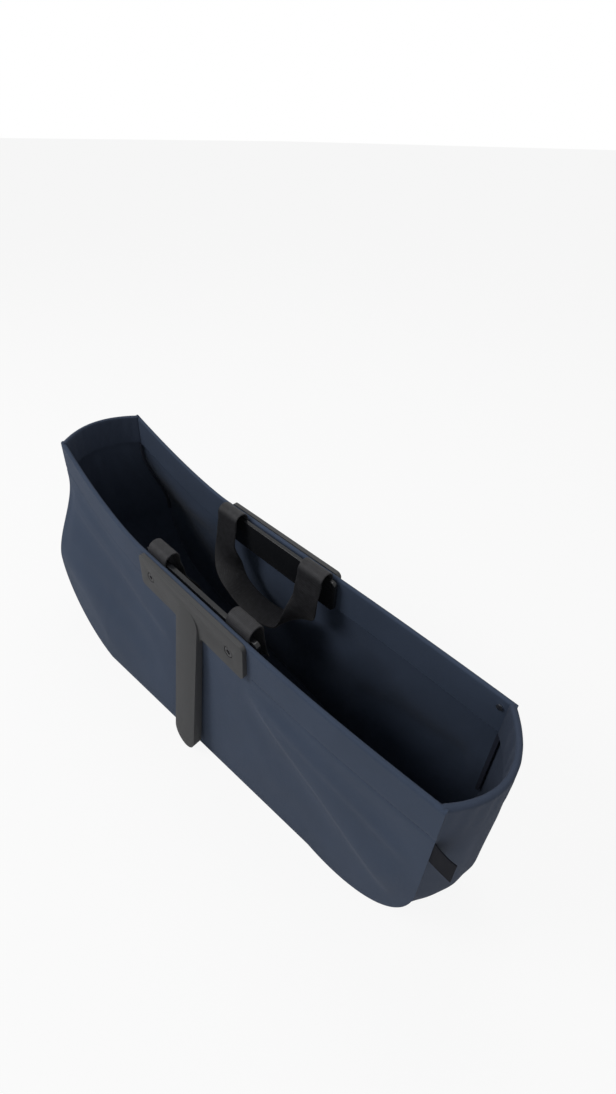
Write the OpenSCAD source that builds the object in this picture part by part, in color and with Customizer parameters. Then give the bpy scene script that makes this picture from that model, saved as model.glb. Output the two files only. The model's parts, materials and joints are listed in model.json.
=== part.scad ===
// Long, narrow soft basket that hangs from two moulded T-shaped brackets, one on each long side.
// X runs along the basket, the near side is -Y and Z is up. The base stands on z = 0.

/* [Basket] */
// Length from corner to corner at the rim
basket_len = 504; // [420:1:600]
// Height from the base to the top of the brackets
basket_h = 212; // [190:1:260]
// Width of the base at its left end
base_w_left = 164; // [130:1:190]
// Width of the base at its right end
base_w_right = 106; // [100:1:150]
// Width of the rim at the four corners
corner_w = 102; // [90:1:120]
// How far the left corners of the rim stand above the brackets
left_rise = 47; // [0:1:60]
// How far the right corners of the rim stand above the brackets
right_rise = 4; // [0:1:60]
// How far each end bows outward
end_bow = 20; // [0:1:35]
// Height at which the left corners reach the full width of the base
left_full_z = 100; // [0:1:110]
// Radius of the lower corners of the long sides
lower_round = 98; // [60:1:120]
// Thickness of the outer cloth
cloth_t = 1.6; // [1:0.1:2.5]

/* [Rim hem] */
// Depth of the hem below the rim
hem_h = 37; // [30:1:45]
// Thickness of the hem facing
facing_t = 1.2; // [0.8:0.1:2]
// Thickness of the stiffening strip in the hem
stiffener_t = 1.5; // [1:0.1:2.5]

/* [Base] */
// Thickness of the base board
board_t = 3; // [2:0.5:5]
// Gap from the base board to the walls
board_gap = 4; // [2:0.5:10]
// Thickness of the cover over the base board
cover_t = 1.2; // [0.8:0.1:2]

/* [Brackets] */
// Distance across the outer faces of the two bracket plates
bracket_span = 124; // [110:1:150]
// Length of a bracket plate
plate_len = 155; // [140:1:180]
// Height of a bracket plate
plate_h = 39; // [36:1:50]
// Thickness of a bracket plate
plate_t = 4.5; // [3:0.1:6]
// Length of the tongue, from the top of the plate
tongue_len = 206; // [150:1:210]
// Width of the tongue
tongue_w = 32; // [24:1:40]
// Thickness of the tongue at its tip
tongue_t = 10.5; // [8:0.5:14]
// Wall of the hollow tongue
tongue_wall = 2.5; // [2:0.1:3.5]
// Gap from the tongue to the basket at the tip
tongue_gap = 2.5; // [2:0.1:8]
// Length of a backing plate inside the basket
backing_len = 166; // [150:1:180]
// Thickness of a backing plate
backing_t = 4.5; // [4:0.1:6]

/* [Screws] */
// Distance between the two screws of a bracket
screw_pitch = 118; // [90:1:120]
// Diameter of a screw head
head_d = 10.5; // [8:0.5:12]
// Diameter of a screw shank
shank_d = 4; // [3:0.5:5]

/* [Handles] */
// Width of the webbing
strap_w = 30; // [20:1:38]
// Thickness of the webbing
strap_t = 1.8; // [1.2:0.1:2.5]
// Distance between the two ends of a handle
strap_pitch = 120; // [100:1:125]
// Depth of the hanging loop below the pivot
loop_drop = 84; // [70:1:90]
// Radius of the arch that the webbing makes over the backing plate
arch_r = 8; // [7.5:0.5:10]

/* [Hidden] */

$fn = 64;
NEAR = -1;
FAR = 1;
LEFT = -1;
RIGHT = 1;

// colours
navy = [0.20, 0.25, 0.34];
navy_dark = [0.13, 0.16, 0.23];
graphite = [0.25, 0.25, 0.26];
webbing = [0.13, 0.13, 0.15];
steel = [0.55, 0.56, 0.58];
board_grey = [0.35, 0.35, 0.36];

layer_gap = 0.15;            // air between two layers of the rim
seam_gap = 0.4;              // air between two sewn panels
end_gap = 0.8;               // air between an end panel and the long sides
plate_round = 5;             // corner radius of both plates
junction_fillet = 8;         // fillet between plate and tongue
backing_drop = 1;            // top of the backing plate below the bracket's top
backing_h = plate_h - 4;
head_t = 2;
shank_gap = 0.4;             // air around a screw shank in its holes
insert_d = shank_d + 4;
label_len = 16;
label_h = 25;
label_t = 0.8;
label_z = basket_h - 61;
rivet_d = 5;
rivet_t = 1.2;
rivet_shank_d = 2.4;
rivet_inset = 10;
binding_size = 3;

half_len = basket_len / 2;
base_flat = half_len - lower_round;           // half length of the flat base
rim_mid = bracket_span / 2 - plate_t;         // outer cloth face behind the brackets
corner_half = corner_w / 2;
rim_flat = max(plate_len, backing_len) / 2 + 2;
flare_from = max(plate_h + junction_fillet, hem_h) + 1;  // the walls hang straight this far below the rim

// depth of each rim layer, measured inward from the outer cloth face
stiffener_at = cloth_t + layer_gap;
facing_at = stiffener_at + stiffener_t + layer_gap;
strap_at = facing_at + facing_t + layer_gap;
backing_at = strap_at + strap_t + layer_gap;
rim_stack = facing_at + facing_t;

strap_y = rim_mid - strap_at - strap_t / 2;   // middle of the webbing in the rim
pivot_y = strap_y - arch_r;
pivot_z = basket_h + 2;
leg_r = arch_r + strap_t + 0.3;               // the loop's legs turn clear of the arch
loop_r = strap_pitch / 2;
leg_len = loop_drop - loop_r;
screw_z = basket_h - plate_h / 2;
tongue_tip_z = basket_h - tongue_len;
board_z = cloth_t + 0.2;

// ---- surfaces -------------------------------------------------------------------------------

function ease(t) = let (c = min(1, max(0, t))) c * c * (3 - 2 * c);
function outside_plates(x) = max(0, (abs(x) - rim_flat) / (half_len - rim_flat));
function rise(x) = x < 0 ? left_rise : right_rise;
function rim_z(x) = basket_h + rise(x) * pow(outside_plates(x), 1.6);
function rim_half(x) = rim_mid + (corner_half - rim_mid) * pow(outside_plates(x), 1.8);
// Half width of the base, which narrows evenly from left to right
function base_half(x) = let (share = (min(base_flat, max(-base_flat, x)) + base_flat) / (2 * base_flat))
  (base_w_left + (base_w_right - base_w_left) * share) / 2;
// Height down to which the walls widen: the left corners are full sooner than the rest
function full_z(x) = x < 0 ? left_full_z * ease(outside_plates(x)) : 0;
function flare(x, z) = ease((rim_z(x) - z - flare_from) / (rim_z(x) - flare_from - full_z(x)));
// Half width of the basket, to the outer cloth face
function wall_half(x, z) = rim_half(x) + (base_half(x) - rim_half(x)) * flare(x, z);
// Lowest point of a long side: flat, then a round corner
function foot_z(x) =
  let (over = min(lower_round, max(0, abs(x) - base_flat)))
  lower_round - sqrt(lower_round * lower_round - over * over);

// Columns along a long side: round corner, straight, bracket, straight, round corner
function side_columns(end_x) = let (
  corner = [for (a = [90:-11.25:11.25]) min(end_x, base_flat + lower_round * sin(a))],
  straight = [for (i = [0:5]) base_flat + (rim_flat - base_flat) * i / 5],
  half = concat(corner, straight)
) concat([for (x = half) -x], [for (i = [len(half) - 1:-1:0]) half[i]]);

function side_point(side, x, z, depth) = [x, side * (wall_half(x, z) - depth), z];

// Closed sheet between an outer and an inner grid of the same size
module sheet(outer, inner) {
  rows = len(outer);
  cols = len(outer[0]);
  n = rows * cols;
  flat = [for (g = [outer, inner]) for (r = g) for (p = r) p];
  skins = [for (i = [0:rows - 2]) for (j = [0:cols - 2]) each let (
    a = i * cols + j, b = a + 1, c = a + cols, d = c + 1
  ) [[a, b, d], [a, d, c], [a + n, d + n, b + n], [a + n, c + n, d + n]]];
  ends = [for (i = [0:rows - 2]) each let (
    a = i * cols, c = a + cols, b = a + cols - 1, d = c + cols - 1
  ) [[a, c, c + n], [a, c + n, a + n], [b, d + n, d], [b, b + n, d + n]]];
  edges = [for (j = [0:cols - 2]) each let (
    a = j, b = j + 1, c = (rows - 1) * cols + j, d = c + 1
  ) [[a, b + n, b], [a, a + n, b + n], [c, d, d + n], [c, d + n, c + n]]];
  polyhedron(points = flat, faces = concat(skins, ends, edges), convexity = 8);
}

// Layer of a long side, from a depth inside the cloth face, down to the foot or to a hem's depth
module side_layer(side, depth, t, end_x, top = 0, bottom = undef) {
  xs = side_columns(end_x);
  rows = 18;
  function straight_z(x) = rim_z(x) - flare_from;
  function levels(x) = is_undef(bottom)
    ? concat([rim_z(x)], [for (i = [0:rows]) straight_z(x) + (foot_z(x) - straight_z(x)) * i / rows])
    : [rim_z(x) - top, rim_z(x) - bottom];
  function grid(d) = [for (i = [0:len(levels(0)) - 1])
    [for (x = xs) side_point(side, x, levels(x)[i], d)]];
  if (side == NEAR) sheet(grid(depth), grid(depth + t));
  else sheet(grid(depth + t), grid(depth));
}

// Path of an end panel seen from the side: rim, straight, round corner
function end_path(end, bottom) = let (
  top_z = basket_h + rise(end),
  rim_bottom = is_undef(bottom) ? lower_round : top_z - bottom,
  steps = is_undef(bottom) ? 16 : 2,
  straight = [for (i = [0:steps]) [0, top_z + (rim_bottom - top_z) * i / steps]],
  round_part = is_undef(bottom) ? [for (a = [15:15:90]) [a, lower_round * (1 - sin(a))]] : []
) concat(straight, round_part);

function end_point(end, step, across, depth, inset) = let (
  a = step[0],
  x0 = base_flat + lower_round * cos(a),
  half = wall_half(end * min(x0, half_len), step[1]) - inset,
  bow = end_bow * (1 - across * across) * ease(step[1] / lower_round)
) [end * (x0 + bow - depth * cos(a)), across * half, step[1] + depth * sin(a)];

// Layer of an end, between the two long sides
module end_layer(end, depth, t, inset, top = 0, bottom = undef) {
  steps = end_path(end, bottom);
  function lowered(s, i) = i == 0 ? [s[0], s[1] - top] : s;
  function grid(d) = [for (i = [0:len(steps) - 1])
    [for (c = [-1:0.125:1]) end_point(end, lowered(steps[i], i), c, d, inset)]];
  if (end == RIGHT) sheet(grid(depth), grid(depth + t));
  else sheet(grid(depth + t), grid(depth));
}

// Holes along Y through the rim, at the two screws
module screw_holes(side, d) {
  for (x = [-1, 1])
    translate([x * screw_pitch / 2, side * (rim_mid - 30), screw_z])
      rotate([-side * 90, 0, 0])
        cylinder(d = d, h = 60);
}

// Holes for the small rivets, at the right-hand corners
module rivet_hole(side) {
  translate([half_len - rivet_inset, side * 30, rim_z(half_len) - rivet_inset])
    rotate([-side * 90, 0, 0])
      cylinder(d = rivet_shank_d + 0.2, h = corner_half - 30 - cloth_t);
}

// ---- soft basket ----------------------------------------------------------------------------

module side_panel(side) {
  color(navy)
    difference() {
      side_layer(side, 0, cloth_t, half_len);
      screw_holes(side, shank_d + shank_gap);
    }
}

module end_panel(end) {
  color(navy)
    end_layer(end, 0, cloth_t, cloth_t + end_gap);
}

module bottom_panel() {
  inset = cloth_t + seam_gap;
  x = base_flat - seam_gap;
  left = base_half(-x) - inset;
  right = base_half(x) - inset;
  color(navy)
    linear_extrude(cloth_t)
      polygon([[-x, -left], [x, -right], [x, right], [-x, left]]);
}

module side_hem(side) {
  color(navy_dark)
    difference() {
      side_layer(side, facing_at, facing_t, half_len - cloth_t - seam_gap, 0, hem_h);
      screw_holes(side, shank_d + shank_gap);
      rivet_hole(side);
    }
}

module end_hem(end) {
  color(navy_dark)
    end_layer(end, facing_at, facing_t, rim_stack + seam_gap, 0, hem_h);
}

module side_stiffener(side) {
  color(board_grey)
    difference() {
      side_layer(side, stiffener_at, stiffener_t, half_len - cloth_t - seam_gap, 2, hem_h - 2);
      screw_holes(side, shank_d + shank_gap);
    }
}

module end_stiffener(end) {
  color(board_grey)
    end_layer(end, stiffener_at, stiffener_t, rim_stack + seam_gap, 2, hem_h - 2);
}

// Bound seam allowance that stands in a corner, from the hem down to the round foot
module seam_binding(side, end) {
  inset = cloth_t + seam_gap;
  top_z = rim_z(end * (half_len - inset - binding_size)) - hem_h - 1;
  function ring(z) = [for (c = [[0, 0], [1, 0], [1, 1], [0, 1]]) [
    end * (half_len - inset - c[0] * binding_size),
    side * (wall_half(end * half_len, z) - inset - seam_gap - c[1] * binding_size),
    z
  ]];
  steps = 14;
  rings = [for (i = [0:steps]) ring(top_z + (lower_round - top_z) * i / steps)];
  same_turn = side * end > 0;
  color(navy_dark)
    polyhedron(
      points = [for (r = rings) each (same_turn ? r : [r[3], r[2], r[1], r[0]])],
      faces = concat(
        [[3, 2, 1, 0], [for (k = [0:3]) steps * 4 + k]],
        [for (i = [0:steps - 1]) for (k = [0:3]) each let (
          a = i * 4 + k, b = i * 4 + (k + 1) % 4, c = a + 4, d = b + 4
        ) [[a, b, d], [a, d, c]]]
      )
    );
}

// Slab that follows the tapered base at a distance from the walls, with round corners
module base_slab(t, inset, r) {
  corners = [[1, 1], [-1, 1], [-1, -1], [1, -1]];
  x = base_flat - 2 - r;
  outline = [for (q = [0:3]) each let (
    c = corners[q],
    middle = [c[0] * x, c[1] * (base_half(c[0] * x) - inset - r)]
  ) [for (a = [0:15:90]) middle + r * [cos(90 * q + a), sin(90 * q + a)]]];
  linear_extrude(t)
    polygon(outline);
}

module base_board() {
  color(board_grey)
    translate([0, 0, board_z])
      base_slab(board_t, cloth_t + board_gap, 12);
}

module base_cover() {
  color(navy_dark)
    translate([0, 0, board_z + board_t + 0.2])
      base_slab(cover_t, cloth_t + board_gap - 1, 13);
}

// ---- brackets -------------------------------------------------------------------------------

module plate_outline(length, height, top_z) {
  translate([0, top_z - height / 2])
    union() {
      square([length - 2 * plate_round, height], center = true);
      square([length, height - 2 * plate_round], center = true);
      for (x = [-1, 1], y = [-1, 1])
        translate([x * (length / 2 - plate_round), y * (height / 2 - plate_round)])
          circle(plate_round);
    }
}

// Round-ended tongue seen from the front
module tongue_outline(shrink) {
  r = tongue_w / 2 - shrink;
  top = tongue_arch_z - tongue_w / 2;
  low = tongue_tip_z + tongue_w / 2;
  translate([-r, low])
    square([2 * r, top - low]);
  translate([0, low])
    circle(r);
  translate([0, top])
    circle(r);
}

// Fillets where the plate meets the tongue
module junction_outline() {
  f = junction_fillet;
  plate_low = basket_h - plate_h;
  for (x = [-1, 1])
    difference() {
      translate([x > 0 ? tongue_w / 2 - 1 : -tongue_w / 2 - f, plate_low - f])
        square([f + 1, f + 1]);
      translate([x * (tongue_w / 2 + f), plate_low - f])
        circle(f);
    }
}

tongue_back = wall_half(-tongue_w / 2, tongue_tip_z) + tongue_gap;
tongue_front = tongue_back + tongue_t;
tongue_arch_z = basket_h - plate_h / 2 + 4;
plate_face = bracket_span / 2;

// Side view of the tongue: it leaves the plate's face at the arch and stands further out below
tongue_profile = [
  [-rim_mid, tongue_arch_z],
  [-plate_face, tongue_arch_z],
  [-tongue_front, tongue_tip_z],
  [-tongue_back, tongue_tip_z],
  [-rim_mid, basket_h - plate_h]
];

module across_x(width) {
  rotate([90, 0, 90])
    translate([0, 0, -width / 2])
      linear_extrude(width)
        children();
}

module facing_out(from_y, to_y) {
  translate([0, -from_y, 0])
    rotate([90, 0, 0])
      linear_extrude(to_y - from_y)
        children();
}

module tongue_solid() {
  intersection() {
    facing_out(rim_mid, tongue_front + 1)
      tongue_outline(0);
    across_x(tongue_w + 2)
      polygon(tongue_profile);
  }
}

// Hollow in the back of the tongue, with its round end and walls left standing
module tongue_hollow() {
  rib_t = 2;
  difference() {
    intersection() {
      facing_out(rim_mid - 1, tongue_front)
        tongue_outline(tongue_wall);
      across_x(tongue_w)
        polygon([
          [-rim_mid + 2, basket_h - plate_h - 4],
          [-(plate_face + 1 - tongue_wall), basket_h - plate_h - 4],
          [-(tongue_front - tongue_wall), tongue_tip_z],
          [-rim_mid + 2, tongue_tip_z]
        ]);
    }
    for (z = [tongue_tip_z + 50:42:basket_h - plate_h - 20])
      translate([-tongue_w / 2, -tongue_front, z])
        cube([tongue_w, tongue_front - tongue_back + 1, rib_t]);
  }
}

module hanger() {
  color(graphite)
    difference() {
      union() {
        facing_out(rim_mid, plate_face)
          union() {
            plate_outline(plate_len, plate_h, basket_h);
            junction_outline();
          }
        tongue_solid();
      }
      tongue_hollow();
      screw_holes(NEAR, shank_d + shank_gap);
      for (x = [-1, 1])
        translate([x * screw_pitch / 2, -plate_face + head_t, screw_z])
          rotate([90, 0, 0])
            cylinder(d = head_d + 0.6, h = head_t + 1);
    }
}

module backing_plate() {
  face = rim_mid - backing_at;
  color(graphite)
    difference() {
      facing_out(face - backing_t, face)
        plate_outline(backing_len, backing_h, basket_h - backing_drop);
      for (x = [-1, 1])
        translate([x * screw_pitch / 2, -face - 1, screw_z])
          rotate([-90, 0, 0])
            cylinder(d = insert_d + 0.1, h = backing_t - 1 + 1);
    }
}

module screws() {
  shank_end = rim_mid - backing_at - backing_t + 1.2;
  color(steel)
    for (x = [-1, 1])
      translate([x * screw_pitch / 2, 0, screw_z])
        rotate([90, 0, 0])
          difference() {
            union() {
              translate([0, 0, plate_face - head_t + 0.1])
                cylinder(d = head_d, h = head_t - 0.2);
              translate([0, 0, shank_end])
                cylinder(d = shank_d, h = plate_face - head_t + 0.2 - shank_end);
            }
            translate([0, 0, plate_face - 1.2])
              cylinder(d = 4.6, h = 3, $fn = 6);
          }
}

module inserts() {
  face = rim_mid - backing_at;
  color([0.72, 0.58, 0.30])
    for (x = [-1, 1])
      translate([x * screw_pitch / 2, -face, screw_z])
        rotate([-90, 0, 0])
          difference() {
            cylinder(d = insert_d, h = backing_t - 1.1);
            translate([0, 0, -1])
              cylinder(d = shank_d + 0.1, h = backing_t + 2);
          }
}

// ---- handles --------------------------------------------------------------------------------

// Fixed ends of the webbing: clamped in the rim, then arched over the backing plate
module strap_roots() {
  root_low = basket_h - plate_h + 3;
  color(webbing)
    difference() {
      for (x = [-1, 1])
        translate([x * strap_pitch / 2, 0, 0]) {
          translate([-strap_w / 2, -strap_y - strap_t / 2, root_low])
            cube([strap_w, strap_t, basket_h - root_low]);
          translate([0, -pivot_y, basket_h])
            across_x(strap_w)
              difference() {
                circle(arch_r + strap_t / 2);
                circle(arch_r - strap_t / 2);
                translate([-2 * arch_r, -4 * arch_r])
                  square([4 * arch_r, 4 * arch_r]);
              }
        }
      screw_holes(NEAR, shank_d + shank_gap);
    }
}

// The hanging loop: each leg turns a quarter so that the bottom lies flat in the hand
loop_lean = 6;
function loop_centre(s) = let (
  arc = 180 * loop_r * PI / 180,
  total = 2 * leg_len + arc,
  at = s * total
) at < leg_len ? [-loop_r, -at]
  : at > leg_len + arc ? [loop_r, -(total - at)]
  : let (a = (at - leg_len) / loop_r * 180 / PI) [-loop_r * cos(a), -leg_len - loop_r * sin(a)];
function loop_tangent(s) = let (
  p = loop_centre(max(0, s - 0.01)),
  q = loop_centre(min(1, s + 0.01)),
  l = norm(q - p)
) (q - p) / l;
function loop_turn(s) = 90 * ease((min(s, 1 - s) - 0.10) / 0.26);

// Corners of the webbing's section, as [x, y inward, z], y counted from the pivot
function loop_ring(s) = let (
  c = loop_centre(s),
  t = loop_tangent(s),
  turn = loop_turn(s),
  across = [cos(turn) * -t[1] * (s < 0.5 ? 1 : -1), sin(turn), cos(turn) * t[0] * (s < 0.5 ? 1 : -1)],
  along = [t[0], 0, t[1]],
  thick = cross(along, across),
  deep = ease(-c[1] / loop_drop),
  mid = [c[0], leg_r + loop_lean * deep, c[1]]
) [for (k = [[-1, -1], [1, -1], [1, 1], [-1, 1]])
    mid + across * k[0] * strap_w / 2 + thick * k[1] * strap_t / 2];

module handle_loop() {
  steps = 40;
  rings = [for (i = [0:steps]) loop_ring(i / steps)];
  color(webbing)
    translate([0, -pivot_y, pivot_z])
      polyhedron(
        points = [for (r = rings) each r],
        faces = concat(
          [[0, 1, 2, 3], [for (k = [3:-1:0]) steps * 4 + k]],
          [for (i = [0:steps - 1]) for (k = [0:3]) each let (
            a = i * 4 + k, b = i * 4 + (k + 1) % 4, c = a + 4, d = b + 4
          ) [[a, c, d], [a, d, b]]]
        ),
        convexity = 8
      );
}

// ---- trim -----------------------------------------------------------------------------------

// Blank fabric flag sewn into the near right-hand seam
module side_label() {
  color([0.06, 0.06, 0.07])
    translate([half_len + 0.1, -wall_half(half_len, label_z) + cloth_t - label_t, label_z])
      cube([label_len, label_t, label_h]);
}

module corner_rivets() {
  z = rim_z(half_len) - rivet_inset;
  x = half_len - rivet_inset;
  face = rim_half(x) - rim_stack;
  color(steel)
    for (side = [NEAR, FAR])
      translate([x, side * (face - 0.4), z])
        rotate([side * 90, 0, 0]) {
          cylinder(d = rivet_d, h = rivet_t);
          translate([0, 0, -1])
            cylinder(d = rivet_shank_d, h = 1.5);
        }
}

module other_side() {
  rotate([0, 0, 180])
    children();
}

side_panel(NEAR);  // near_side_panel
side_panel(FAR);  // far_side_panel
end_panel(LEFT);  // left_end_panel
end_panel(RIGHT);  // right_end_panel
bottom_panel();
side_hem(NEAR);  // near_hem
side_hem(FAR);  // far_hem
end_hem(LEFT);  // left_hem
end_hem(RIGHT);  // right_hem
side_stiffener(NEAR);  // near_rim_stiffener
side_stiffener(FAR);  // far_rim_stiffener
end_stiffener(LEFT);  // left_rim_stiffener
end_stiffener(RIGHT);  // right_rim_stiffener
seam_binding(NEAR, LEFT);  // near_left_seam_binding
seam_binding(NEAR, RIGHT);  // near_right_seam_binding
seam_binding(FAR, LEFT);  // far_left_seam_binding
seam_binding(FAR, RIGHT);  // far_right_seam_binding
base_board();
base_cover();
hanger();  // near_hanger
other_side() hanger();  // far_hanger
backing_plate();  // near_backing_plate
other_side() backing_plate();  // far_backing_plate
screws();  // near_screws
other_side() screws();  // far_screws
inserts();  // near_inserts
other_side() inserts();  // far_inserts
strap_roots();  // near_strap_roots
other_side() strap_roots();  // far_strap_roots
handle_loop();  // near_handle_loop
other_side() handle_loop();  // far_handle_loop
side_label();
corner_rivets();
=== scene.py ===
import json
import math

import bmesh
import bpy
import numpy as np
from mathutils import Matrix, Vector


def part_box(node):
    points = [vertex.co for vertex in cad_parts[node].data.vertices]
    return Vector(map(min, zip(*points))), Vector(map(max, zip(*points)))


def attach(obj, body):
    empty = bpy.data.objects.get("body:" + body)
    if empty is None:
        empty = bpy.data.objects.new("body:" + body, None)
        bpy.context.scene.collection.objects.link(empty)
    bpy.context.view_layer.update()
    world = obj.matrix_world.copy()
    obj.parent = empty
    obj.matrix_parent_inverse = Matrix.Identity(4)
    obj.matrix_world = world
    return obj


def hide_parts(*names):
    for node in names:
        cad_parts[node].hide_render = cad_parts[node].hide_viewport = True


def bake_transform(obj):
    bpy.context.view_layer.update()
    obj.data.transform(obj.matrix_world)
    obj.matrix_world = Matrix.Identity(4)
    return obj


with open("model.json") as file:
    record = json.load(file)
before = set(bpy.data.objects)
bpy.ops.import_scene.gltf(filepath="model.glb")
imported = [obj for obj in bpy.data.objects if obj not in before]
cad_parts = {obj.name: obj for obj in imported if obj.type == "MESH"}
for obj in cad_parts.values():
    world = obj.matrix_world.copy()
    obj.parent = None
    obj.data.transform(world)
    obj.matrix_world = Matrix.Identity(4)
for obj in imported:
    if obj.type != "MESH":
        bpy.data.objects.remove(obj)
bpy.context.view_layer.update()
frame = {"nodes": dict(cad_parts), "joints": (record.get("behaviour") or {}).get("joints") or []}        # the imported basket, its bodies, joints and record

# Visual model of a long soft basket that hangs from two T-shaped brackets.
# Metres; +X along the basket, -Y is the near side, +Z is up and the base stands on z = 0.

MM = 0.001
NEAR, FAR = -1, 1
LEFT, RIGHT = -1, 1

# ---- sizes from the frame ---------------------------------------------------------------------

side_low, side_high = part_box("near_side_panel")
end_low, end_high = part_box("left_end_panel")
plate_low, plate_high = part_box("near_hanger")
backing_low, backing_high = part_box("near_backing_plate")
root_low, root_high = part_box("near_strap_roots")
cover_low, cover_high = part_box("base_cover")
label_low, label_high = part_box("side_label")

CLOTH = 1.6 * MM
HEM_H = 37 * MM
HEM_STACK = 4.6 * MM             # outer cloth, stiffener and facing together
FLARE_FROM = 48 * MM             # the walls hang straight this far below the rim
LEFT_FULL_Z = 100 * MM           # the left corners are full width from here down
PANEL_INSET = 2.4 * MM           # an end panel's edge from the long side's face
FACING_INSET = 5.0 * MM          # an end facing's edge from the long side's face
STRAP_T = 1.8 * MM
ARCH_R = 8 * MM
LOOP_R = 60 * MM
LOOP_DROP = 84 * MM
LOOP_LEAN = 6 * MM
LEG_R = 10.1 * MM

half_len = side_high.x
basket_h = plate_high.z
left_rise = side_high.z - basket_h
right_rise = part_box("right_hem")[1].z - basket_h
rim_mid = -plate_high.y
corner_half = -side_high.y + CLOTH
base_half_left = -side_low.y
base_half_right = 53 * MM
base_flat = -end_high.x
lower_round = half_len - base_flat
end_bow = -end_low.x - half_len
plate_half = plate_high.x
plate_h = 39 * MM
rim_flat = backing_high.x + 2 * MM
strap_w = (root_high.x - root_low.x) - 120 * MM
strap_y = root_low.y + STRAP_T / 2
pivot = Vector(frame["joints"][0]["pos_m"])


def ease(t):
    t = np.clip(t, 0.0, 1.0)
    return t * t * (3 - 2 * t)


def outside_plates(x):
    return np.maximum(0, (np.abs(x) - rim_flat) / (half_len - rim_flat))


def rim_z(x):
    rise = np.where(np.asarray(x) < 0, left_rise, right_rise)
    return basket_h + rise * outside_plates(x) ** 1.6


def rim_half(x):
    return rim_mid + (corner_half - rim_mid) * outside_plates(x) ** 1.8


def base_half(x):
    share = (np.clip(x, -base_flat, base_flat) + base_flat) / (2 * base_flat)
    return base_half_left + (base_half_right - base_half_left) * share


def wall_half(x, z):
    """Half width of the basket to its outer face."""
    full_z = np.where(np.asarray(x) < 0, LEFT_FULL_Z * ease(outside_plates(x)), 0)
    down = rim_z(x) - z - FLARE_FROM
    flare = ease(down / (rim_z(x) - FLARE_FROM - full_z))
    return rim_half(x) + (base_half(x) - rim_half(x)) * flare


def foot_z(x):
    over = np.clip(np.abs(x) - base_flat, 0, lower_round)
    return lower_round - np.sqrt(lower_round**2 - over**2)


# ---- folds and creases ------------------------------------------------------------------------


def ripple(u, v, seed):
    """Smooth irregular waves between about -1 and 1, made of a few sines."""
    random = np.random.default_rng(seed)
    total = 0
    for size in (0.11, 0.07, 0.043, 0.027):
        turn, phase = random.uniform(0, 2 * math.pi, 2)
        along = (u * math.cos(turn) + v * math.sin(turn)) / size
        total = total + (size / 0.11) * np.sin(2 * math.pi * along + phase + 1.3 * np.sin(along * 2.1))
    return total / 2.3


def crease(x, z, start, end, height, above, below):
    """Fold between two points that fades at both ends, with its own width above and below."""
    along = np.array(end) - np.array(start)
    length = np.hypot(*along)
    along = along / length
    t = ((x - start[0]) * along[0] + (z - start[1]) * along[1]) / length
    off = (z - start[1]) * along[0] - (x - start[0]) * along[1]
    width = np.where(off > 0, above, below)
    return height * np.exp(-((off / width) ** 2)) * ease(t / 0.22) * ease((1 - t) / 0.16)


def bump(x, z, middle, size, height):
    return height * np.exp(-(((x - middle[0]) / size[0]) ** 2) - ((z - middle[1]) / size[1]) ** 2)


def near_folds(x, z):
    d = rim_z(x) - z
    below_hem = ease((d - HEM_H) / 0.02)
    f = crease(x, z, (0.070, 0.163), (0.246, 0.066), 3.6 * MM, 0.030, 0.010)
    f += crease(x, z, (0.095, 0.160), (0.250, 0.128), 1.3 * MM, 0.010, 0.007)
    f += crease(x, z, (0.060, 0.140), (0.190, 0.055), -1.6 * MM, 0.018, 0.022)
    f += crease(x, z, (-0.262, 0.196), (-0.025, 0.118), 2.2 * MM, 0.022, 0.010)
    f += crease(x, z, (-0.255, 0.150), (-0.060, 0.096), 1.4 * MM, 0.016, 0.012)
    f += crease(x, z, (-0.250, 0.120), (-0.070, 0.050), 1.2 * MM, 0.014, 0.016)
    f += bump(x, z, (-0.215, 0.175), (0.060, 0.045), 2.0 * MM)
    f += bump(x, z, (0.20, 0.150), (0.050, 0.030), -1.2 * MM)
    return below_hem * (f + 0.45 * MM * ripple(x, z, 3))


def far_folds(x, z):
    d = rim_z(x) - z
    below_hem = ease((d - HEM_H) / 0.02)
    f = crease(x, z, (0.110, 0.075), (0.245, 0.120), 3.4 * MM, 0.016, 0.024)
    f += crease(x, z, (0.080, 0.150), (0.235, 0.075), 1.8 * MM, 0.022, 0.020)
    f += crease(x, z, (-0.080, 0.150), (-0.240, 0.110), 2.2 * MM, 0.022, 0.016)
    f += crease(x, z, (-0.050, 0.090), (-0.230, 0.170), 1.6 * MM, 0.020, 0.014)
    return below_hem * (f + 0.6 * MM * ripple(x, z, 8))


def quiet_edges(x, z):
    """1 in the middle of a long side and 0 at its seams, its foot, the bracket and the tongue."""
    to_foot = ease((z - foot_z(x)) / 0.028)
    to_corner = ease((half_len - np.abs(x)) / 0.022)
    behind_tongue = 1 - 0.9 * ease((0.036 - np.abs(x)) / 0.018)
    return to_foot * to_corner * behind_tongue


def side_folds(side, x, z):
    folds = near_folds(x, z) if side == NEAR else far_folds(x, z)
    stitch_dip = -0.45 * MM * np.exp(-(((rim_z(x) - z - HEM_H + 1 * MM) / (1.3 * MM)) ** 2))
    clear_plate = ease((np.abs(x) - plate_half - 1 * MM) / 0.01)
    return folds * quiet_edges(x, z) + stitch_dip * clear_plate


# ---- mesh helpers -----------------------------------------------------------------------------


def add_object(name, mesh, material, sharp=40):
    mesh.materials.clear()
    mesh.materials.append(material)
    mesh.shade_smooth()
    mesh.set_sharp_from_angle(angle=math.radians(sharp))
    piece = bpy.data.objects.new(name, mesh)
    bpy.context.scene.collection.objects.link(piece)
    return piece


def mesh_from(name, points, faces):
    mesh = bpy.data.meshes.new(name)
    mesh.from_pydata([tuple(p) for p in points], [], [tuple(f) for f in faces])
    work = bmesh.new()
    work.from_mesh(mesh)
    bmesh.ops.recalc_face_normals(work, faces=work.faces)
    work.to_mesh(mesh)
    work.free()
    return mesh


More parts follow.
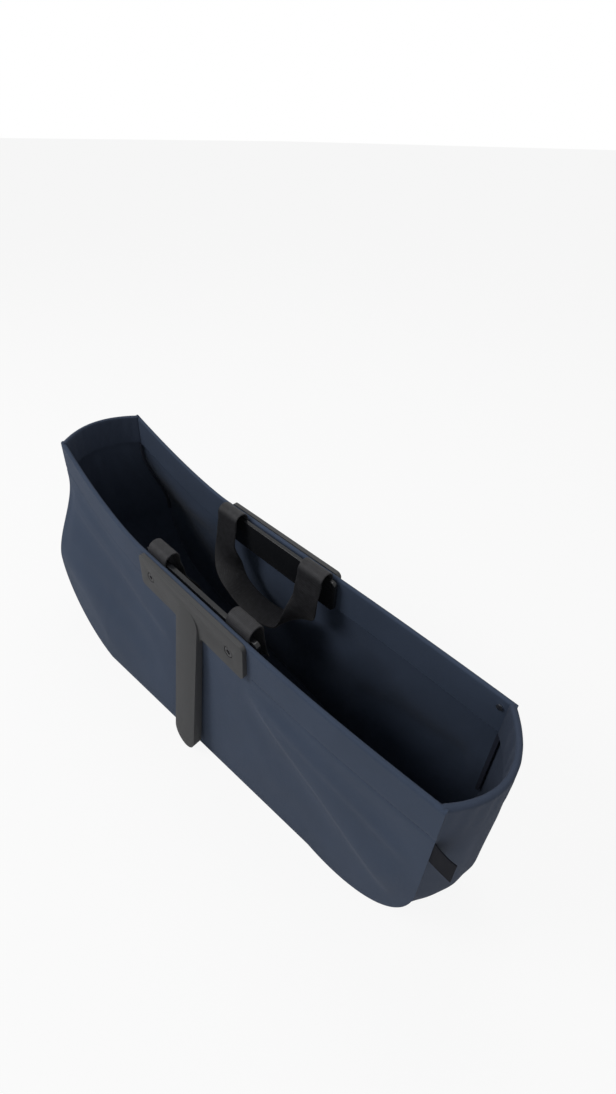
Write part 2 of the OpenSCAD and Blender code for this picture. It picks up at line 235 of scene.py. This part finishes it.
def grid_faces(rows, cols, start=0):
    a = np.arange(rows - 1)[:, None] * cols + np.arange(cols - 1)[None, :] + start
    return np.stack([a, a + 1, a + cols + 1, a + cols], -1).reshape(-1, 4)


def grid_normals(grid):
    n = np.cross(np.gradient(grid, axis=1), np.gradient(grid, axis=0))
    return n / np.maximum(np.linalg.norm(n, axis=2, keepdims=True), 1e-12)


def cloth(name, grid, thickness, material):
    """Closed sheet with its face on the grid and its thickness behind it."""
    rows, cols, _ = grid.shape
    n = rows * cols
    back = grid - grid_normals(grid) * thickness
    points = np.concatenate([grid.reshape(-1, 3), back.reshape(-1, 3)])
    rim = np.concatenate([
        np.arange(cols),
        np.arange(1, rows) * cols + cols - 1,
        (rows - 1) * cols + np.arange(cols - 2, -1, -1),
        np.arange(rows - 2, 0, -1) * cols,
    ])
    after = np.roll(rim, -1)
    edges = np.stack([rim, rim + n, after + n, after], -1)
    faces = np.concatenate([grid_faces(rows, cols), grid_faces(rows, cols, n)[:, ::-1], edges])
    return add_object(name, mesh_from(name, points, faces), material)


def smooth_finish(node, name, width, material, segments=3):
    """The CAD node's own shape with rounded edges, shown in its place."""
    work = bmesh.new()
    work.from_mesh(frame["nodes"][node].data)
    bmesh.ops.remove_doubles(work, verts=work.verts, dist=1e-6)
    bmesh.ops.dissolve_limit(
        work, angle_limit=math.radians(2), verts=work.verts, edges=work.edges
    )
    mesh = bpy.data.meshes.new(name)
    work.to_mesh(mesh)
    work.free()
    piece = add_object(name, mesh, material)
    rounding = piece.modifiers.new("rounding", "BEVEL")
    rounding.limit_method = "ANGLE"
    rounding.angle_limit = math.radians(35)
    rounding.width = width
    rounding.segments = segments
    rounding.use_clamp_overlap = True
    seen = piece.evaluated_get(bpy.context.evaluated_depsgraph_get())
    rounded = bpy.data.meshes.new_from_object(seen)
    piece.modifiers.clear()
    piece.data = rounded
    rounded.shade_smooth()
    rounded.set_sharp_from_angle(angle=math.radians(30))
    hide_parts(node)
    return piece


def stitches(name, points, along, out, material, length=2.3 * MM, radius=0.28 * MM):
    """A row of thread stitches, each a thin rounded bead half sunk in the cloth."""
    all_points, faces = [], []
    sides, rings = 6, ((-1.0, 0.15), (-0.7, 0.8), (0.0, 1.0), (0.7, 0.8), (1.0, 0.15))
    for p, a, o in zip(points, along, out):
        a, o = Vector(a).normalized(), Vector(o).normalized()
        across = a.cross(o)
        start = len(all_points)
        for at, share in rings:
            for k in range(sides):
                turn = 2 * math.pi * k / sides
                round_it = across * math.cos(turn) * 1.2 + o * math.sin(turn)
                all_points.append(Vector(p) + a * at * length / 2 + round_it * radius * share)
        for r in range(len(rings) - 1):
            for k in range(sides):
                q = start + r * sides
                faces.append((q + k, q + (k + 1) % sides, q + sides + (k + 1) % sides, q + sides + k))
        faces.append([start + k for k in range(sides)])
        faces.append([start + (len(rings) - 1) * sides + k for k in range(sides)])
    return add_object(name, mesh_from(name, all_points, faces), material)


# ---- materials --------------------------------------------------------------------------------


class Look:
    """A procedural material that is built up node by node."""

    def __init__(self, name, roughness, sheen=0.0, specular=0.5, metallic=0.0):
        self.material = bpy.data.materials.new(name)
        self.material.use_nodes = True
        self.tree = self.material.node_tree
        self.shader = self.tree.nodes["Principled BSDF"]
        self.shader.inputs["Roughness"].default_value = roughness
        self.shader.inputs["Sheen Weight"].default_value = sheen
        self.shader.inputs["Sheen Roughness"].default_value = 0.45
        self.shader.inputs["Specular IOR Level"].default_value = specular
        self.shader.inputs["Metallic"].default_value = metallic
        self.place = self.tree.nodes.new("ShaderNodeTexCoord").outputs["Object"]

    def link(self, source, target):
        self.tree.links.new(source, target)

    def noise(self, scale, detail=3.0, stretch=(1, 1, 1)):
        node = self.tree.nodes.new("ShaderNodeTexNoise")
        node.inputs["Scale"].default_value = scale
        node.inputs["Detail"].default_value = detail
        place = self.place
        if stretch != (1, 1, 1):
            mapping = self.tree.nodes.new("ShaderNodeMapping")
            mapping.inputs["Scale"].default_value = stretch
            self.link(self.place, mapping.inputs["Vector"])
            place = mapping.outputs["Vector"]
        self.link(place, node.inputs["Vector"])
        return node.outputs["Fac"]

    def bands(self, pitch, direction, turn=0.0, distortion=0.0):
        """Ridges at a pitch in metres along X, Y, Z or DIAGONAL."""
        node = self.tree.nodes.new("ShaderNodeTexWave")
        node.wave_type = "BANDS"
        node.bands_direction = direction
        node.inputs["Scale"].default_value = 2 * math.pi / (20 * pitch)
        node.inputs["Distortion"].default_value = distortion
        mapping = self.tree.nodes.new("ShaderNodeMapping")
        mapping.inputs["Rotation"].default_value = (0, turn, 0)
        self.link(self.place, mapping.inputs["Vector"])
        self.link(mapping.outputs["Vector"], node.inputs["Vector"])
        return node.outputs["Fac"]

    def math(self, operation, a, b):
        node = self.tree.nodes.new("ShaderNodeMath")
        node.operation = operation
        for socket, value in zip(node.inputs, (a, b)):
            if isinstance(value, (int, float)):
                socket.default_value = value
            else:
                self.link(value, socket)
        return node.outputs[0]

    def ramp(self, factor, stops):
        node = self.tree.nodes.new("ShaderNodeValToRGB")
        while len(node.color_ramp.elements) < len(stops):
            node.color_ramp.elements.new(0.5)
        for element, (at, colour) in zip(node.color_ramp.elements, stops):
            element.position = at
            element.color = (*colour, 1)
        self.link(factor, node.inputs["Fac"])
        return node.outputs["Color"]

    def mix(self, factor, a, b, blend="MIX"):
        node = self.tree.nodes.new("ShaderNodeMix")
        node.data_type = "RGBA"
        node.blend_type = blend
        sockets = [s for s in node.inputs if s.type == "RGBA"]
        if isinstance(factor, (int, float)):
            node.inputs[0].default_value = factor
        else:
            self.link(factor, node.inputs[0])
        for socket, value in zip(sockets, (a, b)):
            if isinstance(value, tuple):
                socket.default_value = (*value, 1)
            else:
                self.link(value, socket)
        return [s for s in node.outputs if s.type == "RGBA"][0]

    def paint(self, colour):
        self.link(colour, self.shader.inputs["Base Color"])

    def relief(self, height, strength, distance):
        node = self.tree.nodes.new("ShaderNodeBump")
        node.inputs["Strength"].default_value = strength
        node.inputs["Distance"].default_value = distance
        self.link(height, node.inputs["Height"])
        self.link(node.outputs["Normal"], self.shader.inputs["Normal"])

    def vary_roughness(self, factor, low, high):
        node = self.tree.nodes.new("ShaderNodeMapRange")
        node.inputs["To Min"].default_value = low
        node.inputs["To Max"].default_value = high
        self.link(factor, node.inputs["Value"])
        self.link(node.outputs["Result"], self.shader.inputs["Roughness"])


def shade(colour, factor):
    return tuple(c * factor for c in colour)


def woven(name, colour, pitch=0.55 * MM, contrast=0.10, sheen=0.05, relief=0.35):
    """Close plain weave with a soft coating, slightly uneven in colour."""
    look = Look(name, roughness=0.72, sheen=sheen, specular=0.12)
    threads = look.math("ADD", look.bands(pitch, "X", distortion=0.4), look.bands(pitch, "Z", distortion=0.4))
    threads = look.math("ADD", threads, look.bands(pitch, "Y", distortion=0.4))
    patches = look.noise(22, 4)
    grain = look.noise(900, 2)
    base = look.ramp(patches, [(0.3, shade(colour, 1 - contrast)), (0.7, shade(colour, 1 + contrast))])
    look.paint(look.mix(grain, shade(colour, 0.82), base, "MIX"))
    look.relief(look.math("ADD", threads, grain), relief, 0.12 * MM)
    look.vary_roughness(patches, 0.66, 0.80)
    return look.material


def webbing_look():
    """Dense herringbone webbing with a worn, mottled face."""
    look = Look("webbing_black", roughness=0.55, sheen=0.06, specular=0.3)
    ribs = look.bands(1.3 * MM, "X", turn=math.radians(35), distortion=1.2)
    cross = look.bands(1.3 * MM, "X", turn=math.radians(-35), distortion=1.2)
    threads = look.math("MULTIPLY", ribs, cross)
    mottle = look.noise(230, 5)
    base = look.ramp(mottle, [(0.38, (0.006, 0.006, 0.008)), (0.62, (0.036, 0.037, 0.043))])
    look.paint(look.mix(threads, (0.011, 0.011, 0.013), base))
    look.relief(look.math("ADD", threads, mottle), 0.6, 0.25 * MM)
    return look.material


def moulded(name, colour, roughness, grain=0.18, specular=0.3):
    """Moulded plastic with a fine spark-eroded grain and slightly rubbed patches."""
    look = Look(name, roughness=roughness, specular=specular)
    grain_height = look.noise(1500, 2)
    rubbed = look.noise(14, 5)
    look.paint(look.ramp(rubbed, [(0.3, shade(colour, 0.93)), (0.75, shade(colour, 1.08))]))
    look.vary_roughness(rubbed, roughness - 0.05, roughness + 0.07)
    look.relief(grain_height, grain, 0.08 * MM)
    return look.material


def metal(name, colour, roughness):
    look = Look(name, roughness=roughness, metallic=1.0)
    brushed = look.noise(1200, 2, stretch=(1, 6, 1))
    look.paint(look.ramp(brushed, [(0.3, shade(colour, 0.85)), (0.7, shade(colour, 1.1))]))
    look.relief(brushed, 0.1, 0.05 * MM)
    return look.material


NAVY = (0.060, 0.082, 0.130)
SHELL = woven("shell_cloth_navy", NAVY)
HEM_THREAD = woven("thread_navy", shade(NAVY, 0.62), pitch=0.3 * MM, relief=0.2)
GUSSET = woven("gusset_cloth_navy", (0.055, 0.072, 0.112))
COVER = woven("base_cover_navy", (0.040, 0.052, 0.083))
TAPE = woven("binding_tape_dark", (0.030, 0.036, 0.058), pitch=0.8 * MM, relief=0.6)
LABEL = woven("label_black", (0.010, 0.011, 0.016), pitch=0.5 * MM, sheen=0.0, relief=0.4)
WEBBING = webbing_look()
BRACKET = moulded("bracket_graphite", (0.052, 0.053, 0.055), 0.50)
BACKING = moulded("backing_gloss_black", (0.013, 0.014, 0.016), 0.22, grain=0.05)
STIFFENER = moulded("stiffener_grey", (0.080, 0.080, 0.085), 0.55)
SCREW = metal("blackened_steel", (0.09, 0.09, 0.095), 0.38)
RIVET = metal("rivet_steel", (0.55, 0.56, 0.58), 0.3)
BRASS = metal("insert_brass", (0.60, 0.45, 0.20), 0.35)

# ---- cloth of the basket ----------------------------------------------------------------------


def corner_spaced(count_flat, count_round):
    """Positions along a long side, closer together at the round lower corners."""
    middle = np.linspace(-base_flat, base_flat, count_flat)
    turn = np.linspace(0, math.pi / 2, count_round)[1:]
    outer = base_flat + lower_round * np.sin(turn)
    return np.concatenate([-outer[::-1], middle, outer])


def folded_profile(x, foot, count):
    """Depth below the face and height down one line of cloth: up the facing, over the rim, down."""
    top = rim_z(x)
    r = HEM_STACK / 2
    facing = [(HEM_STACK, top - HEM_H + (HEM_H - r) * i / 14) for i in range(15)]
    fold = [(r + r * math.cos(a), top - r + r * math.sin(a)) for a in np.linspace(0, math.pi, 10)[1:-1]]
    hem = [(0.0, top - r - (HEM_H + 4 * MM - r) * i / 26) for i in range(26)]
    start = top - HEM_H - 4 * MM
    wall = [(0.0, start + (foot - start) * i / count) for i in range(count + 1)]
    return facing + fold + hem + wall


def side_cloth(side, name, *nodes):
    xs = corner_spaced(250, 44)
    profiles = np.array([folded_profile(x, foot_z(x), 96) for x in xs]).transpose(1, 0, 2)
    depth, z = profiles[..., 0], profiles[..., 1]
    x = np.broadcast_to(xs, z.shape)
    y = wall_half(x, z) - depth + side_folds(side, x, z)
    grid = np.stack([x, side * y, z], -1)
    if side == NEAR:
        grid = grid[:, ::-1]
    piece = cloth(name, grid, 1.2 * MM, SHELL)
    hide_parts(*nodes)
    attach(piece, "basket")
    return piece


def gusset_station(end, depth, z, angle=0.0):
    return end, depth, z, angle


def gusset_line():
    """Stations along the strip that makes the left end, the bottom and the right end."""
    line = []
    for end in (LEFT, RIGHT):
        top_x = end * half_len
        profile = folded_profile(top_x, lower_round, 44)
        stations = [(end, depth, z, 0.0) for depth, z in profile]
        turns = np.linspace(0, math.pi / 2, 40)[1:]
        stations += [(end, 0.0, lower_round * (1 - math.sin(a)), a) for a in turns]
        line.append(stations)
    flat = [(0, 0.0, 0.0, x) for x in np.linspace(-base_flat, base_flat, 130)[1:-1]]
    return line[0] + flat + line[1][::-1]


def end_pleats(end, across, z):
    """Soft upright pleats in an end panel, outward."""
    d = rim_z(end * half_len) - z
    below = ease((d - HEM_H) / 0.03) * ease(z / 0.05)
    middle = ease((1 - np.abs(across)) / 0.25)
    size = 1.0 if end == LEFT else 0.25
    waves = size * (1.5 * np.sin(across * 9 + 0.8 * end) + 0.9 * np.sin(across * 17 + z * 30))
    sag = -1.2 * np.exp(-(((z - 0.105) / 0.035) ** 2)) if end == LEFT else 0.0
    gathers = 0.35 * np.sin(across * 26 + end) * ease(d / 0.01) * ease((HEM_H - d) / 0.012)
    return MM * (below * middle * (waves + sag) + middle * gathers)


def gusset_cloth():
    across = np.concatenate([np.linspace(-1, 1, 91)])
    rows = []
    for end, depth, z, at in gusset_line():
        if end == 0:
            x = np.full_like(across, at)
            half = base_half(at) - CLOTH
            soft = 0.5 * MM * (1 + ripple(x, across * half, 5)) * ease((1 - np.abs(across)) / 0.2)
            rows.append(np.stack([x, across * half, soft], -1))
            continue
        x0 = base_flat + lower_round * math.cos(at)
        level = end * min(x0, half_len)
        half = wall_half(level, z) - CLOTH + 0.2 * MM
        layer_inset = PANEL_INSET + (FACING_INSET - PANEL_INSET) * min(1, depth / HEM_STACK)
        layer_half = wall_half(level, z) - layer_inset
        bow = end_bow * np.maximum(0, 1 - (across * half / layer_half) ** 2) * ease(z / lower_round)
        bow = bow + end_pleats(end, across, z) - depth
        x = end * (x0 + bow * math.cos(at))
        height = z + np.maximum(0, bow * -math.sin(at))
        rows.append(np.stack([x, across * half, np.broadcast_to(height, x.shape)], -1))
    grid = np.array(rows)
    piece = cloth("gusset_cloth", grid, 1.2 * MM, GUSSET)
    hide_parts("left_end_panel", "bottom_panel", "right_end_panel", "left_hem", "right_hem")
    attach(piece, "basket")
    return piece


near_cloth = side_cloth(NEAR, "near_side_cloth", "near_side_panel", "near_hem")
far_cloth = side_cloth(FAR, "far_side_cloth", "far_side_panel", "far_hem")
gusset = gusset_cloth()


def hem_stitching(side):
    """Rows of stitches along the foot of the hem, outside and inside."""
    points, along, out = [], [], []
    pitch = 3.3 * MM
    for face, depth in ((1, 0.0), (-1, HEM_STACK)):
        for x in np.arange(-half_len + 3 * MM, half_len - 3 * MM, pitch):
            if abs(x) < plate_half + 5 * MM:
                continue
            z = float(rim_z(x) - HEM_H + 1.2 * MM)
            soft = float(side_folds(side, x, z))
            y = float(wall_half(x, z)) - depth + soft + face * 0.05 * MM
            step = float(rim_z(x + pitch) - rim_z(x))
            points.append((x, side * y, z))
            along.append((pitch, 0, step))
            out.append((0, side * face, 0))
    name = "near_hem_stitching" if side == NEAR else "far_hem_stitching"
    piece = stitches(name, points, along, out, HEM_THREAD)
    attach(piece, "basket")
    return piece


near_stitching = hem_stitching(NEAR)
far_stitching = hem_stitching(FAR)


def base_insert():
    """Padded cover of the base board, raised softly along all its edges."""
    xs = np.linspace(cover_low.x, cover_high.x, 150)
    ys = np.linspace(-1, 1, 60)
    x, across = np.meshgrid(xs, ys, indexing="xy")
    half = base_half(x) - CLOTH - 3 * MM
    near_edge = np.minimum(half * (1 - np.abs(across)), np.minimum(x - cover_low.x, cover_high.x - x))
    lift = 2.2 * MM * ease(near_edge / 0.006) + 0.7 * MM * ripple(x, across * half, 12)
    z = cover_low.z + 0.4 * MM + np.maximum(0, lift)
    grid = np.stack([x, across * half, z], -1)[:, ::-1]
    piece = cloth("base_cover_cloth", grid, 1.0 * MM, COVER)
    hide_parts("base_cover")
    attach(piece, "basket")
    return piece


cover = base_insert()

# ---- brackets ---------------------------------------------------------------------------------

for side in ("near", "far"):
    plate = smooth_finish(f"{side}_hanger", f"{side}_hanger_moulding", 0.9 * MM, BRACKET)
    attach(plate, "basket")
    backing = smooth_finish(f"{side}_backing_plate", f"{side}_backing_moulding", 0.7 * MM, BACKING)
    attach(backing, "basket")

# ---- webbing ----------------------------------------------------------------------------------


def strap_path():
    """Middle line of one end of a handle as (0, y, z, 0) points, for the near side, in the frame:
    up in the rim and over the arch."""
    line = []
    low = root_low.z
    for z in np.linspace(low, basket_h, 16):
        line.append((0.0, strap_y, z, 0.0))
    for a in np.linspace(0, math.pi, 19)[1:]:
        line.append((0.0, pivot.y - ARCH_R * math.cos(a), basket_h + ARCH_R * math.sin(a), 0.0))
    return line


def handle_strap(side, name, *nodes):
    arch = strap_path()
    leg = LOOP_DROP - LOOP_R
    arc = math.pi * LOOP_R
    total = 2 * leg + arc
    steps = 96
    centres, widths = [], []
    for x, y, z, _ in arch:
        centres.append(Vector((-LOOP_R, y, z)))
        widths.append(Vector((1, 0, 0)))
    for i in range(1, steps):
        at = total * i / steps
        share = i / steps
        if at < leg:
            cx, cz, tx, tz = -LOOP_R, -at, 0.0, -1.0
        elif at > leg + arc:
            cx, cz, tx, tz = LOOP_R, -(total - at), 0.0, 1.0
        else:
            a = (at - leg) / LOOP_R
            cx, cz = -LOOP_R * math.cos(a), -leg - LOOP_R * math.sin(a)
            tx, tz = math.sin(a), -math.cos(a)
        sign = 1 if share < 0.5 else -1
        turn = math.radians(90) * float(ease((min(share, 1 - share) - 0.10) / 0.26))
        across = Vector((math.cos(turn) * -tz * sign, math.sin(turn), math.cos(turn) * tx * sign))
        deep = float(ease(-cz / LOOP_DROP))
        settle = float(ease(-cz / 0.02))
        out = ARCH_R + (LEG_R - ARCH_R) * settle + LOOP_LEAN * deep
        sway = 1.0 * MM * math.sin(share * 11)
        centres.append(Vector((cx, pivot.y + out + sway * settle, basket_h - 1 * MM + cz)))
        widths.append(across)
    for x, y, z, _ in arch[::-1]:
        centres.append(Vector((LOOP_R, y, z)))
        widths.append(Vector((1, 0, 0)))
    section = webbing_section()
    rows = []
    last = len(centres) - 1
    for i, (c, w) in enumerate(zip(centres, widths)):
        t = (centres[min(last, i + 1)] - centres[max(0, i - 1)]).normalized()
        w = (w - t * w.dot(t)).normalized()
        n = t.cross(w)
        rows.append([c + w * u * strap_w / 2 + n * v for u, v in section])
    count = len(section)
    points = [p for row in rows for p in row]
    faces = [
        (r * count + k, r * count + (k + 1) % count, (r + 1) * count + (k + 1) % count, (r + 1) * count + k)
        for r in range(last) for k in range(count)
    ]
    faces.append(list(range(count)))
    faces.append([last * count + k for k in range(count)])
    if side == FAR:
        points = [Vector((-p.x, -p.y, p.z)) for p in points]
    piece = add_object(name, mesh_from(name, points, faces), WEBBING, sharp=60)
    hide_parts(*nodes)
    return piece


def webbing_section():
    """Outline of the webbing: flat faces with fine lengthways ribs and round selvedges."""
    half_t = STRAP_T / 2
    flat = 28
    top = [
        (-0.94 + 1.88 * i / flat, half_t * (0.90 + 0.10 * math.cos(i * math.pi)))
        for i in range(flat + 1)
    ]
    right = [(0.94 + 0.06 * math.cos(a), half_t * 0.9 * math.sin(a)) for a in (0.9, 0.0, -0.9)]
    return top + right + [(-u, -v) for u, v in top] + [(-u, -v) for u, v in right]


for side, word in ((NEAR, "near"), (FAR, "far")):
    strap = handle_strap(side, f"{word}_handle_strap", f"{word}_strap_roots", f"{word}_handle_loop")
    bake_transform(strap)

# ---- trim -------------------------------------------------------------------------------------


def side_label():
    """Blank woven flag folded double, sewn into the near right-hand seam."""
    rows, cols = 34, 24
    u, v = np.meshgrid(np.linspace(0, 1, cols), np.linspace(0, 1, rows))
    x = label_low.x - 2 * MM + u * (label_high.x - label_low.x + 2 * MM)
    z = label_high.z - v * (label_high.z - label_low.z)
    curl = 1.6 * MM * np.sin(u * 2.4) * (0.6 + 0.4 * np.cos(v * 3))
    y = label_low.y - curl
    grid = np.stack([x, y, z], -1)[:, ::-1]
    piece = cloth("side_label_flag", grid, 0.9 * MM, LABEL)
    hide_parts("side_label")
    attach(piece, "basket")
    return piece


label = side_label()


def lathe(profile, sides, start):
    """Points and faces of a turned shape; profile is (radius, height) from the middle of its face."""
    points, faces = [], []
    for r, h in profile:
        for k in range(sides):
            a = 2 * math.pi * k / sides
            points.append((r * math.cos(a), h, r * math.sin(a)))
    for i in range(len(profile) - 1):
        for k in range(sides):
            a, b = i * sides + k, i * sides + (k + 1) % sides
            faces.append((a + start, b + start, b + sides + start, a + sides + start))
    faces.append([start + k for k in range(sides)])
    faces.append([start + (len(profile) - 1) * sides + k for k in range(sides)])
    return points, faces


def bracket_screws(word, side):
    """Two flush screws with a rounded rim and a round socket, each in its dark groove."""
    low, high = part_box(f"{word}_screws")
    head_r = (high.z - low.z) / 2 - 0.45 * MM
    face = max(abs(low.y), abs(high.y))
    inner = min(abs(low.y), abs(high.y))
    shank_r = 2 * MM
    socket = [(0.3 * MM, 1.3 * MM), (2.2 * MM, 1.3 * MM), (2.35 * MM, 0.1 * MM)]
    rim = [(head_r - 0.5 * MM, 0.0), (head_r - 0.12 * MM, 0.14 * MM), (head_r, 0.5 * MM)]
    body = [(head_r, 1.7 * MM), (shank_r, 1.7 * MM), (shank_r, face - inner)]
    profile = socket + rim + body
    points, faces = [], []
    for x in (low.x + head_r + 0.45 * MM, high.x - head_r - 0.45 * MM):
        new, new_faces = lathe(profile, 40, len(points))
        points += [(x + a, side * (face - h), (low.z + high.z) / 2 + c) for a, h, c in new]
        faces += new_faces
    piece = add_object(f"{word}_screw_heads", mesh_from(f"{word}_screw_heads", points, faces), SCREW)
    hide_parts(f"{word}_screws")
    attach(piece, "basket")
    return piece


bracket_screws("near", NEAR)
bracket_screws("far", FAR)


def paint_nodes(material, *nodes):
    for node in nodes:
        frame["nodes"][node].data.materials.clear()
        frame["nodes"][node].data.materials.append(material)


paint_nodes(STIFFENER, "near_rim_stiffener", "far_rim_stiffener", "left_rim_stiffener",
            "right_rim_stiffener", "base_board")
paint_nodes(TAPE, "near_left_seam_binding", "near_right_seam_binding",
            "far_left_seam_binding", "far_right_seam_binding")
paint_nodes(BRASS, "near_inserts", "far_inserts")
paint_nodes(RIVET, "corner_rivets")

# ---- floor, light and camera ------------------------------------------------------------------


def pale_floor():
    mesh = mesh_from("floor", [(-60, -60, 0), (60, -60, 0), (60, 60, 0), (-60, 60, 0)], [(0, 1, 2, 3)])
    material = bpy.data.materials.new("pale_floor")
    material.use_nodes = True
    tree = material.node_tree
    tree.nodes.clear()
    matt = tree.nodes.new("ShaderNodeBsdfDiffuse")
    matt.inputs["Color"].default_value = (0.86, 0.86, 0.86, 1)
    white = tree.nodes.new("ShaderNodeEmission")
    white.inputs["Color"].default_value = (1, 1, 1, 1)
    path = tree.nodes.new("ShaderNodeLightPath")
    share = tree.nodes.new("ShaderNodeMath")
    share.operation = "MULTIPLY"
    share.inputs[1].default_value = 0.9
    tree.links.new(path.outputs["Is Camera Ray"], share.inputs[0])
    blend = tree.nodes.new("ShaderNodeMixShader")
    tree.links.new(share.outputs[0], blend.inputs["Fac"])
    tree.links.new(matt.outputs[0], blend.inputs[1])
    tree.links.new(white.outputs[0], blend.inputs[2])
    out = tree.nodes.new("ShaderNodeOutputMaterial")
    tree.links.new(blend.outputs[0], out.inputs["Surface"])
    mesh.materials.append(material)
    floor = bpy.data.objects.new("floor", mesh)
    floor.location.z = -0.2 * MM
    bpy.context.scene.collection.objects.link(floor)


def pale_world(strength):
    world = bpy.data.worlds.new("pale_world")
    bpy.context.scene.world = world
    world.use_nodes = True
    tree = world.node_tree
    back = tree.nodes["Background"]
    back.inputs["Color"].default_value = (1, 1, 1, 1)
    path = tree.nodes.new("ShaderNodeLightPath")
    shown = tree.nodes.new("ShaderNodeMath")
    shown.operation = "MAXIMUM"
    tree.links.new(path.outputs["Is Camera Ray"], shown.inputs[0])
    tree.links.new(path.outputs["Is Glossy Ray"], shown.inputs[1])
    level = tree.nodes.new("ShaderNodeMapRange")
    level.inputs["To Min"].default_value = strength
    level.inputs["To Max"].default_value = 1.0
    tree.links.new(shown.outputs[0], level.inputs["Value"])
    tree.links.new(level.outputs["Result"], back.inputs["Strength"])


def soft_light(name, place, target, size, watts):
    data = bpy.data.lights.new(name, "AREA")
    data.shape = "DISK"
    data.size = size
    data.energy = watts
    lamp = bpy.data.objects.new(name, data)
    lamp.location = place
    lamp.rotation_euler = (Vector(target) - Vector(place)).to_track_quat("-Z", "Y").to_euler()
    bpy.context.scene.collection.objects.link(lamp)


def photo_camera():
    """Camera at the photograph's viewing angle, close above the lower right end."""
    azimuth, elevation, roll = math.radians(45.1), math.radians(31.2), math.radians(1.1)
    distance, slide_x, slide_y = 0.4965, 0.0388, 0.1094
    back = Vector((
        math.sin(azimuth) * math.cos(elevation),
        -math.cos(azimuth) * math.cos(elevation),
        math.sin(elevation),
    ))
    right = (-back).cross(Vector((0, 0, 1))).normalized()
    up = right.cross(-back)
    right, up = (
        right * math.cos(roll) + up * math.sin(roll),
        up * math.cos(roll) - right * math.sin(roll),
    )
    place = Vector((0, 0, basket_h)) + back * distance + right * slide_x + up * slide_y
    data = bpy.data.cameras.new("camera")
    data.sensor_fit = "HORIZONTAL"
    data.sensor_width = 36
    data.lens = 30.18
    data.shift_x = 0.0481
    data.shift_y = -0.1586
    data.clip_start = 0.01
    camera = bpy.data.objects.new("camera", data)
    camera.matrix_world = Matrix.Translation(place) @ Matrix((right, up, back)).transposed().to_4x4()
    bpy.context.scene.collection.objects.link(camera)
    bpy.context.scene.camera = camera


pale_floor()
pale_world(0.24)
soft_light("key", (-0.9, -1.2, 1.5), (0, 0, 0.1), 0.8, 15.5)
soft_light("fill", (1.3, -0.9, 0.9), (0, 0, 0.1), 1.2, 2.5)
soft_light("top", (-0.3, 0.5, 1.7), (0, 0, 0.1), 0.8, 5)
photo_camera()
bpy.context.scene.view_settings.view_transform = "Standard"
